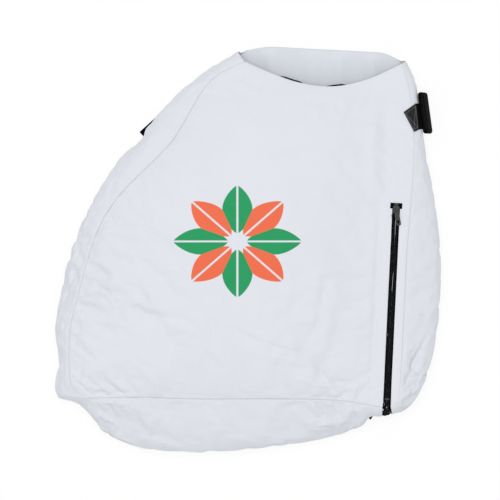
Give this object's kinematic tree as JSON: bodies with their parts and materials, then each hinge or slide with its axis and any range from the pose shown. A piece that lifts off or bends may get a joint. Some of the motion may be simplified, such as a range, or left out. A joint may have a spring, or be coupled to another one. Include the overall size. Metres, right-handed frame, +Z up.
{
  "type": "leaf vacuum collection bag",
  "caption": "Pale cloth collection bag lying on its back, with an open neck, side and bottom gussets, a zip down one side, webbing loops and a printed leaf emblem.",
  "frame": {"origin": "on the floor under the middle of the bag's outline, on the underside of the back panel", "axes": "+Z up off the floor towards the front panel, +Y towards the open neck, +X towards the side with the zip"},
  "size_m": [0.8138, 0.8571, 0.1149],
  "materials": {
    "front_cloth": "matte woven cloth with a printed leaf emblem",
    "back_cloth": "matte woven cloth",
    "side_cloth": "matte woven cloth",
    "black_tape": "matte woven tape",
    "zip_tape": "matte woven tape",
    "zip_teeth": "satin coil teeth",
    "slider_metal": "dark satin paint",
    "strap_patch": "rough webbing with crossed stitches",
    "webbing": "matte ribbed webbing"
  },
  "bodies": {
    "bag": {"front_panel": "front_cloth", "back_panel": "back_cloth", "left_gusset": "side_cloth", "bottom_gusset": "side_cloth", "right_gusset": "side_cloth", "lip_trim": "black_tape", "zip_tape_left": "zip_tape", "zip_tape_right": "zip_tape", "zip_chain_left": "zip_teeth", "zip_chain_right": "zip_teeth", "zip_top_stop_left": "zip_teeth", "zip_top_stop_right": "zip_teeth", "zip_bottom_stop": "zip_teeth", "strap_patch_right": "strap_patch", "hang_loop_right": "webbing", "hang_loop_left": "webbing", "grab_tab": "webbing"},
    "slider": {"zip_slider": "slider_metal"},
    "pull": {"zip_pull": "slider_metal"}
  },
  "joints": [
    {"name": "zip_slider_travel", "type": "slide", "parent": "bag", "child": "slider", "axis": [-0.048, -0.9988, 0], "range_m": [0, 0.386]},
    {"name": "zip_pull_swing", "type": "hinge", "parent": "slider", "child": "pull", "pos_m": [0.31053, 0.08124, 0.0825], "axis": [-0.987, -0.1607, 0], "range_deg": [0, 165]}
  ]
}
